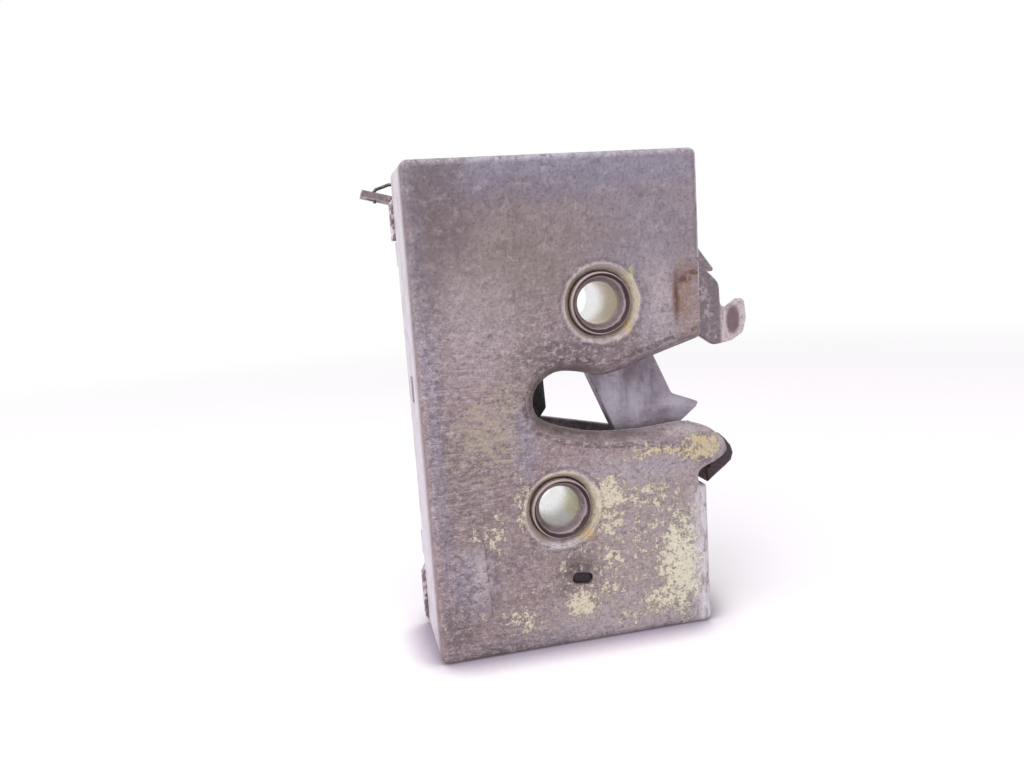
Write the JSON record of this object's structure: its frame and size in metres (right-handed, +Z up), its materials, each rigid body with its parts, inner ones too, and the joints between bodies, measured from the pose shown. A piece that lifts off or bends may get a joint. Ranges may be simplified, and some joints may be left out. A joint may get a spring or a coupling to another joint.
{
  "type": "car door latch",
  "caption": "Pressed steel door latch: box housing with a side slot for the striker, fork claw and pawl inside, two bushes, outside and inside release levers, lock lever with slide.",
  "frame": {"origin": "middle of the bottom wall's outer surface, which the latch stands on", "axes": "+X across the face towards the striker slot's mouth, +Y from the front face to the rear, +Z up the face"},
  "size_m": [0.0854, 0.0308, 0.1],
  "materials": {
    "housing_sheet": "weathered zinc plating, dull",
    "plate_sheet": "darkened zinc plating",
    "bright_zinc": "bright zinc, slightly yellow",
    "claw_steel": "smooth blue-grey steel",
    "lever_zinc": "zinc plated",
    "spring_steel": "drawn wire",
    "dark_steel": "blackened",
    "buffer_rubber": "matt black",
    "clip_plastic": "natural moulded plastic"
  },
  "bodies": {
    "frame": {"housing": "housing_sheet", "back_plate": "plate_sheet", "upper_bush": "bright_zinc", "lower_bush": "bright_zinc", "claw_spacer": "bright_zinc", "pawl_spacer": "bright_zinc", "lever_washer": "bright_zinc", "claw_spring": "spring_steel", "pawl_spring": "spring_steel", "inside_lever_rivet": "bright_zinc", "inside_lever_spring": "spring_steel", "lock_lever_rivet": "bright_zinc", "slide_guide_rivet": "bright_zinc", "slide_spacer": "bright_zinc", "slot_buffer": "buffer_rubber", "stop_post": "dark_steel"},
    "claw": {"claw": "claw_steel"},
    "pawl": {"pawl": "claw_steel", "pawl_pin": "bright_zinc"},
    "outside_release_lever": {"outside_release_lever": "lever_zinc"},
    "inside_release_lever": {"inside_release_lever": "lever_zinc", "inside_rod_clip": "clip_plastic"},
    "lock_lever": {"lock_lever": "lever_zinc", "lock_spring": "spring_steel"},
    "lock_slide": {"lock_slide": "lever_zinc"}
  },
  "joints": [
    {"name": "outside_release", "type": "hinge", "parent": "frame", "child": "outside_release_lever", "pos_m": [0.0081, 0.0062, 0.0705], "axis": [0, 1, 0], "range_deg": [0, 9], "stiffness_Nm_per_rad": 1.5},
    {"name": "pawl_turn", "type": "hinge", "parent": "frame", "child": "pawl", "pos_m": [-0.0025, -0.002, 0.0293], "axis": [0, -1, 0], "range_deg": [0, 24]},
    {"name": "claw_turn", "type": "hinge", "parent": "frame", "child": "claw", "pos_m": [0.0081, -0.002, 0.0705], "axis": [0, -1, 0], "range_deg": [0, 50.5]},
    {"name": "inside_release", "type": "hinge", "parent": "frame", "child": "inside_release_lever", "pos_m": [-0.0166, 0.0135, 0.016], "axis": [0, -1, 0], "range_deg": [0, 13]},
    {"name": "lock", "type": "hinge", "parent": "frame", "child": "lock_lever", "pos_m": [-0.0216, 0.0135, 0.084], "axis": [0, 1, 0], "range_deg": [0, 20]},
    {"name": "lock_slide_travel", "type": "slide", "parent": "frame", "child": "lock_slide", "axis": [0, 0, -1], "range_m": [0, 0.0042]}
  ],
  "couplings": [
    {"joint": "pawl_turn", "follows": "outside_release", "ratio": 2.65},
    {"joint": "claw_turn", "follows": "outside_release", "ratio": 5.6},
    {"joint": "inside_release", "follows": "outside_release", "ratio": 1.4},
    {"joint": "lock_slide_travel", "follows": "lock", "m_per_rad": 0.01175}
  ]
}
